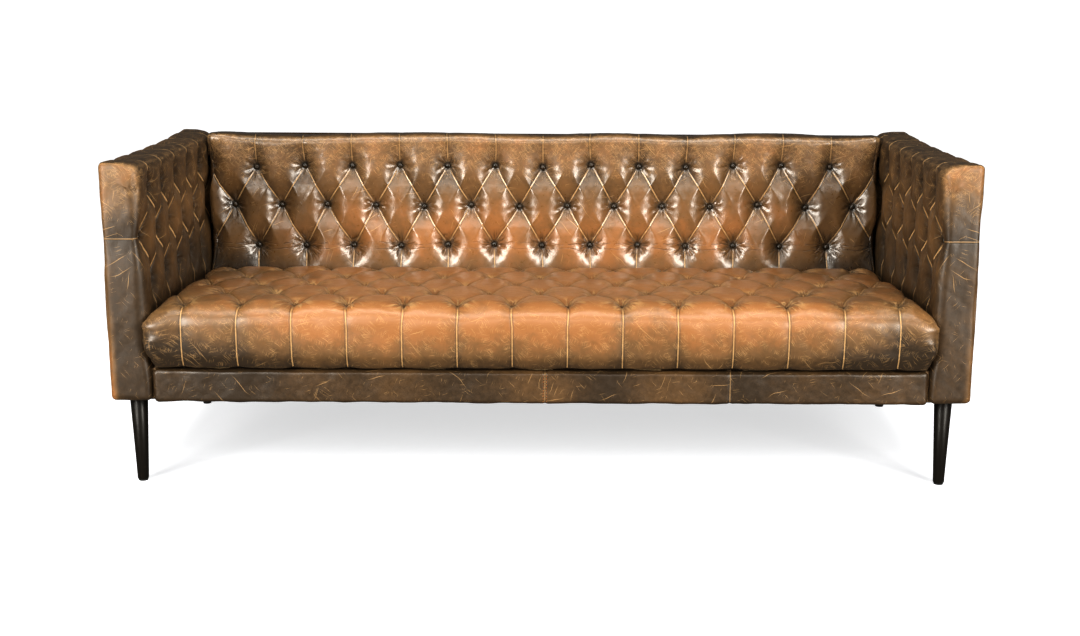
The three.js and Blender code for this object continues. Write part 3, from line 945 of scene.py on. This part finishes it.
def make_seat(sizes, colours):
    pad = seat_pad(sizes)

    def patina_and_painted_light(p, facing):
        # Lighter on top, darker towards the bottom of the front, at the ends and towards the back.
        ends = smoothstep(np.abs(p[:, 0]), 0.50, 0.94) * (1 - 0.4 * smoothstep(p[:, 1], -0.34, -0.1))
        upper = smoothstep(p[:, 2], 0.27, 0.43)
        return 0.12 + 0.86 * upper - 0.56 * ends - 0.05 * smoothstep(p[:, 1], 0.0, 0.25)

    def worn(p, facing):
        return 0.16 + 0.24 * bump_at(p[:, 2], 0.38, 0.06)

    def lip(p, facing):
        return 0.75 + 0.2 * smoothstep(-facing[:, 1], 0.3, 0.9)

    steps = even_steps(pad.thick, 6 * MM)
    seat = pad_object("tufted_seat", pad, steps, [4 * MM] * 4, patina_and_painted_light, worn, lip)
    dress(seat, seat_leather(colours), "seat_leather", "seat_cover", "seat_foam")


def panel_height(puff, seed, middle, half):
    """Height of a plain panel that is slightly full; middle and half are those of its u and v."""

    def height(u, v):
        flat = np.column_stack([u, v])
        inward = np.clip(1 - np.abs(flat - middle) / half, 0, 1)
        full = np.minimum(smoothstep(inward[:, 0], 0, 0.2), smoothstep(inward[:, 1], 0, 0.25))
        rise = puff * full + 0.5 * MM * ripple(flat, 0.12, seed)
        far = np.full(len(u), 1.0)
        return rise - puff, dict.fromkeys(("fold", "crown", "aside", "above", "strain"), far)

    return height


def make_outside_panel(name, node, place, axes, cells, seed, shape, colours, cloud):
    """A flat leather panel over board; axes are those of u, v and depth, cloud its patches' size and seed."""
    low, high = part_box(node)
    across, upward, through = axes
    low_corner = np.array([low[across], low[upward]])
    high_corner = np.array([high[across], high[upward]])
    pad = Pad(
        low=tuple(low_corner),
        high=tuple(high_corner),
        thick=high[through] - low[through],
        cells=cells,
        place=place,
        radius=lambda u, v, depth: 4 * MM,
        height=panel_height(1.5 * MM, seed, (low_corner + high_corner) / 2, (high_corner - low_corner) / 2),
        shape=shape,
        drift=0.0,
        lumps=0.5 * MM,
        seed=seed,
    )

    def patina_and_painted_light(p, facing):
        return 0.2 + 0.12 * ripple(p[:, [across, upward]], *cloud)

    def worn(p, facing):
        return 0.1 + 0.4 * smoothstep(p[:, 2], 0.6, 0.74)

    panel = pad_object(name, pad, [2 * MM] * 4, [3 * MM], patina_and_painted_light, worn, star=False)
    dress(panel, arm_leather(colours), "body_leather", node)


def make_outside_arm(name, colours):
    side = SIDES[name]
    node = f"{name}_outside_arm_cover"
    outside = max(abs(corner.x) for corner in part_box(node))
    turn = Matrix(((0, 0, side, side * outside), (1, 0, 0, 0), (0, 1, 0, 0), (0, 0, 0, 1)))
    low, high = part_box(f"{name}_inside_arm_cover")

    def sag(p):
        return sag_of_arm(p, low, high)

    cloud = (0.4, 60 + side)
    make_outside_panel(f"{name}_outside_arm", node, turn, (1, 2, 0), (98, 66), 50 + side, sag, colours, cloud)


def make_outside_back(colours):
    node = "outside_back_cover"
    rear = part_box(node)[1].y
    turn = Matrix(((-1, 0, 0, 0), (0, 0, 1, rear), (0, 1, 0, 0), (0, 0, 0, 1)))
    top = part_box("inside_back_cover")[1].z

    def sag(p):
        return sag_of_back(p, top - BACK_HEIGHT, top, 0.0)

    make_outside_panel("outside_back", node, turn, (0, 2, 1), (220, 66), 71, sag, colours, (0.5, 72))


def make_border(sizes, colours):
    node = "front_border_cover"
    low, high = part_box(node)
    middle, half = (low.z + high.z) / 2, (high.z - low.z) / 2
    plain = panel_height(2.5 * MM, 81, (0.0, middle), (high.x, half))

    def height(u, v):
        rise, fields = plain(u, v)
        joint = np.min([np.abs(u - seam) for seam in BORDER_SEAMS], axis=0)
        fields["fold"] = joint
        rise = rise - 1.8 * MM * bump_at(joint, 0.0, 3.5 * MM)
        return rise + 0.5 * MM * ripple(u[:, None], 0.11, 82), fields

    pad = Pad(
        low=(low.x, low.z),
        high=(high.x, high.z),
        thick=high.y - low.y,
        cells=(520, 20),
        place=upright(low.y),
        radius=lambda u, v, depth: 13 * MM,
        height=height,
        drift=0.5 * MM,
        lumps=0.4 * MM,
        seed=83,
    )

    def patina_and_painted_light(p, facing):
        return 0.075 + 0.08 * bump_at(p[:, 0], 0.0, 0.4) + 0.06 * ripple(p[:, :1], 0.3, 84)

    def worn(p, facing):
        return np.full(len(p), 0.03)

    def lip(p, facing):
        return np.full(len(p), 0.5)

    steps = even_steps(pad.thick, 5 * MM)
    border = pad_object("front_border", pad, steps, [3 * MM] * 2, patina_and_painted_light, worn, lip)
    dress(border, arm_leather(colours), "body_leather", node)
    make_stitches(pad, sizes, colours)


def make_stitches(pad, sizes, colours):
    """Two lines of thread, one on each side of the border's middle seam."""
    places = []
    pace = sizes.stitch * 1.35
    count = int((pad.high[1] - pad.low[1] - 14 * MM) / pace)
    for offset in (-3.5 * MM, 3.5 * MM):
        for k in range(count):
            places.append((BORDER_SEAMS[0] + offset, pad.low[1] + 9 * MM + k * pace, 0.0))
    bm = bmesh.new()
    for point in pad.put(np.array(places), extra=0.2 * MM)[0]:
        turn = Matrix.Translation(Vector(point)) @ Matrix.Diagonal((0.16, 0.16, 0.5, 1.0))
        bmesh.ops.create_uvsphere(bm, u_segments=8, v_segments=6, radius=sizes.stitch, matrix=turn)
    stitches = placed_object("border_stitches", mesh_from("border_stitches", bm))
    dress(stitches, woven("thread", colours.thread, [c * 0.5 for c in colours.thread], 900.0), "seat_leather")


def make_buttons(sizes, colours):
    """Small leather covered buttons at the tufts of the back and the arms."""
    pads = {"back": (*back_pad(sizes), BACK_BUTTONS)}
    for name in SIDES:
        pads[f"{name}_arm"] = (*arm_pad(name, sizes), ARM_BUTTONS)
    material = button_leather(colours)
    shape = button_shape(sizes.button / 2)
    for name, (pad, tufting, stretch) in pads.items():
        places = np.array([(u, v, 0.0) for u, v in tufting.tufts(*stretch)])
        world, facing, _, _ = pad.put(places, extra=BUTTON_RISE)
        turn = Vector(facing[0]).to_track_quat("Z", "Y").to_matrix().to_4x4()
        bm = bmesh.new()
        for point in world:
            bm.from_mesh(shape)
            made = bm.verts[len(bm.verts) - len(shape.vertices) :]
            bmesh.ops.transform(bm, matrix=Matrix.Translation(Vector(point)) @ turn, verts=made)
        buttons = placed_object(f"{name}_buttons", mesh_from(f"{name}_buttons", bm))
        dress(buttons, material, "body_leather")
    bpy.data.meshes.remove(shape)


def button_shape(radius):
    """One button at the origin: a low dome with a rounded rim, spun about its axis."""
    outline = [(0.0, 0.45), (0.35, 0.41), (0.65, 0.29), (0.88, 0.10)]
    outline += [(1.0, -0.12), (0.92, -0.35), (0.0, -0.40)]
    return mesh_from("button", spun([(x * radius, z * radius) for x, z in outline], 18))


def spun(outline, steps):
    """A closed solid turned about the Z axis from an outline that starts and ends on it."""
    bm = bmesh.new()
    verts = [bm.verts.new((x, 0.0, z)) for x, z in outline]
    edges = [bm.edges.new(pair) for pair in zip(verts, verts[1:])]
    turn = {"cent": (0, 0, 0), "axis": (0, 0, 1), "angle": 2 * math.pi, "steps": steps, "use_merge": True}
    bmesh.ops.spin(bm, geom=verts + edges, **turn)
    bmesh.ops.remove_doubles(bm, verts=bm.verts[:], dist=1e-6)
    bmesh.ops.recalc_face_normals(bm, faces=bm.faces[:])
    return bm


def make_legs(sizes, colours):
    """Turned legs, each spun from the outline between its foot and its top."""
    material = lacquered_wood(colours)
    for name in ("left_front", "left_rear", "right_front", "right_rear"):
        low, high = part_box(f"{name}_leg")
        centre = (low + high) / 2
        top = (high.x - low.x) / 2
        foot = top * FOOT_SHARE
        outline = [(0.0, low.z), (foot - 3 * MM, low.z), (foot - 0.9 * MM, low.z + 0.9 * MM)]
        outline += [(foot, low.z + 3 * MM), (top, high.z - 1 * MM), (top - 1 * MM, high.z), (0.0, high.z)]
        bm = spun(outline, 64)
        bmesh.ops.translate(bm, verts=bm.verts[:], vec=(centre.x, centre.y, 0))
        leg = placed_object(f"{name}_turned_leg", mesh_from(f"{name}_turned_leg", bm))
        dress(leg, material, "ebonised_wood", f"{name}_leg")


def finish_frame():
    """Materials for the frame's own nodes, most of which the leather hides."""
    jute = woven("jute_webbing", (0.20, 0.13, 0.06), (0.42, 0.31, 0.17), 160.0)
    cambric = woven("cambric", (0.010, 0.010, 0.011), (0.025, 0.025, 0.027), 500.0)
    wood = planed_wood()
    steel = worn_plain("zinc_steel", (0.52, 0.53, 0.54), 1.0, 0.35)
    nylon = worn_plain("nylon", (0.02, 0.02, 0.021), 0.0, 0.5)
    endings = (("_bolt", steel), ("_glide", nylon), ("dust_cover", cambric))
    for name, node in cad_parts.items():
        material = jute if "strap" in name else wood
        for ending, chosen in endings:
            if name.endswith(ending):
                material = chosen
        node.data.materials.clear()
        node.data.materials.append(material)


# ---------------------------------------------------------------- stage


def area_light(name, at, towards, size, energy):
    data = bpy.data.lights.new(name, "AREA")
    data.shape = "RECTANGLE"
    data.size, data.size_y = size
    data.energy = energy
    data.color = (1.0, 0.95, 0.87)
    light = linked(name, data)
    light.location = at
    light.rotation_euler = (Vector(towards) - Vector(at)).to_track_quat("-Z", "Y").to_euler()


def make_camera():
    data = bpy.data.cameras.new("camera")
    data.lens = 51.5
    data.sensor_width = 36.0
    camera = linked("camera", data)
    camera.location = (0.036, -3.8475, 1.164)
    camera.rotation_euler = (math.pi / 2 - 0.2141, -0.002, 0.0108)
    bpy.context.scene.camera = camera


def make_floor(colours):
    """A square floor whose rear edge sweeps up to a wall in short steps."""
    bm = bmesh.new()
    bmesh.ops.create_grid(bm, x_segments=1, y_segments=1, size=FLOOR_HALF)
    rear = [e for e in bm.edges if all(v.co.y > 0 for v in e.verts)]
    for k in range(SWEEP_STEPS):
        bend = (k + 0.5) / SWEEP_STEPS * math.pi / 2
        rear = drawn_on(bm, rear, SWEEP_STEP * Vector((0, math.cos(bend), math.sin(bend))))
    mesh = mesh_from("studio_floor", bm)
    mesh.shade_smooth()
    mesh.materials.append(floor_finish(colours))
    linked("studio_floor", mesh)


def floor_finish(colours):
    """White in sight, with a painted shadow as a grey patch under the sofa, but dark where it would throw
    light on the sofa.
    """
    made, tree, shader, place = new_material("studio_floor")
    cloud = blotches(tree, place, 0.8)
    seen = tree.add("LightPath").outputs["Is Camera Ray"]
    base = tree.mix(cloud, rgba(colours.floor), rgba(colours.floor, 0.985))
    tree.feed(shader.inputs["Base Color"], tree.mix(seen, rgba((0.12, 0.11, 0.10)), base))
    shader.inputs["Roughness"].default_value = 0.8
    shader.inputs["Specular IOR Level"].default_value = 0.1
    # Painted shadow: in sight the floor glows grey instead of white in a patch under the sofa.
    across, along = tree.add("SeparateXYZ", {0: place}).outputs[:2]
    across = tree.spread(tree.maths("ABSOLUTE", across), 0.90, 1.04)
    along = tree.spread(tree.maths("ABSOLUTE", along), 0.35, 0.46)
    seen_with_painted_shadow = tree.mix(tree.most(across, along), rgba((0.63, 0.63, 0.63)), rgba((1.0, 1.0, 1.0)))
    tree.feed(shader.inputs["Emission Color"], tree.mix(seen, rgba((0.03, 0.03, 0.03)), seen_with_painted_shadow))
    shader.inputs["Emission Strength"].default_value = 1.0
    return made


def make_studio_light():
    scene = bpy.context.scene
    world = bpy.data.worlds.new("studio")
    world.use_nodes = True
    background = world.node_tree.nodes["Background"].inputs
    background["Color"].default_value = rgba((1.0, 1.0, 1.0))
    background["Strength"].default_value = 0.15
    scene.world = world
    scene.view_settings.view_transform = "Standard"
    scene.view_settings.gamma = 0.80
    area_light("overhead", (0.0, -1.2, 2.9), (0, 0.1, 0.5), (3.4, 0.9), 70.0)
    area_light("front_strip", (-0.3, -3.9, 2.8), (-0.1, 0, 0.4), (3.2, 0.8), 36.0)
    for name, side in SIDES.items():
        area_light(f"{name}_box", (side * 2.4, -3.0, 1.3), (side * 0.2, 0, 0.5), (1.2, 1.9), 155.0)


# ---------------------------------------------------------------- operators and panel


class SofaOperator:
    """Makes an operator's pieces with the sizes and colours that are set in the scene."""

    bl_options = {"REGISTER", "UNDO"}

    def execute(self, context):
        self.make(context.scene.sofa_sizes, context.scene.sofa_colours)
        return {"FINISHED"}


class SOFA_OT_stage(SofaOperator, bpy.types.Operator):
    """Make the studio floor, the lights and the camera"""

    bl_idname = "sofa.stage"
    bl_label = "Stage"

    def make(self, sizes, colours):
        make_camera()
        make_floor(colours)
        make_studio_light()


class SOFA_OT_frame(SofaOperator, bpy.types.Operator):
    """Finish the frame's timbers, webbing and fittings"""

    bl_idname = "sofa.frame"
    bl_label = "Frame finishes"

    def make(self, sizes, colours):
        finish_frame()


class SOFA_OT_legs(SofaOperator, bpy.types.Operator):
    """Turn the four legs"""

    bl_idname = "sofa.legs"
    bl_label = "Legs"

    def make(self, sizes, colours):
        make_legs(sizes, colours)


class SOFA_OT_back(SofaOperator, bpy.types.Operator):
    """Make the diamond tufted back"""

    bl_idname = "sofa.back"
    bl_label = "Back"

    def make(self, sizes, colours):
        make_back(sizes, colours)


class SOFA_OT_arms(SofaOperator, bpy.types.Operator):
    """Make the two tufted arms"""

    bl_idname = "sofa.arms"
    bl_label = "Arms"

    def make(self, sizes, colours):
        for name in SIDES:
            make_arm(name, sizes, colours)


class SOFA_OT_seat(SofaOperator, bpy.types.Operator):
    """Make the tufted seat"""

    bl_idname = "sofa.seat"
    bl_label = "Seat"

    def make(self, sizes, colours):
        make_seat(sizes, colours)


class SOFA_OT_border(SofaOperator, bpy.types.Operator):
    """Make the front border with its seams and stitches"""

    bl_idname = "sofa.border"
    bl_label = "Front border"

    def make(self, sizes, colours):
        make_border(sizes, colours)


class SOFA_OT_outside(SofaOperator, bpy.types.Operator):
    """Make the plain outside arms and outside back"""

    bl_idname = "sofa.outside"
    bl_label = "Outside covers"

    def make(self, sizes, colours):
        for name in SIDES:
            make_outside_arm(name, colours)
        make_outside_back(colours)


class SOFA_OT_buttons(SofaOperator, bpy.types.Operator):
    """Set the buttons into the back and the arms"""

    bl_idname = "sofa.buttons"
    bl_label = "Buttons"

    def make(self, sizes, colours):
        make_buttons(sizes, colours)


OPERATORS = (
    SOFA_OT_stage,
    SOFA_OT_frame,
    SOFA_OT_legs,
    SOFA_OT_back,
    SOFA_OT_arms,
    SOFA_OT_seat,
    SOFA_OT_border,
    SOFA_OT_outside,
    SOFA_OT_buttons,
)


class SOFA_PT_panel(bpy.types.Panel):
    bl_label = "Worn leather sofa"
    bl_idname = "SOFA_PT_panel"
    bl_space_type = "VIEW_3D"
    bl_region_type = "UI"
    bl_category = "Sofa"

    def draw(self, context):
        for operator in OPERATORS:
            self.layout.operator(operator.bl_idname)
        for group in (context.scene.sofa_sizes, context.scene.sofa_colours):
            column = self.layout.column()
            for name in group.bl_rna.properties.keys():
                if name not in ("rna_type", "name"):
                    column.prop(group, name)


CLASSES = (SofaSizes, SofaColours, *OPERATORS, SOFA_PT_panel)


def register():
    for cls in CLASSES:
        bpy.utils.register_class(cls)
    bpy.types.Scene.sofa_sizes = bpy.props.PointerProperty(type=SofaSizes)
    bpy.types.Scene.sofa_colours = bpy.props.PointerProperty(type=SofaColours)


def unregister():
    del bpy.types.Scene.sofa_colours
    del bpy.types.Scene.sofa_sizes
    for cls in reversed(CLASSES):
        bpy.utils.unregister_class(cls)


def main():
    register()
    for operator in OPERATORS:
        family, name = operator.bl_idname.split(".")
        getattr(getattr(bpy.ops, family), name)()


if __name__ == "__main__":
    main()
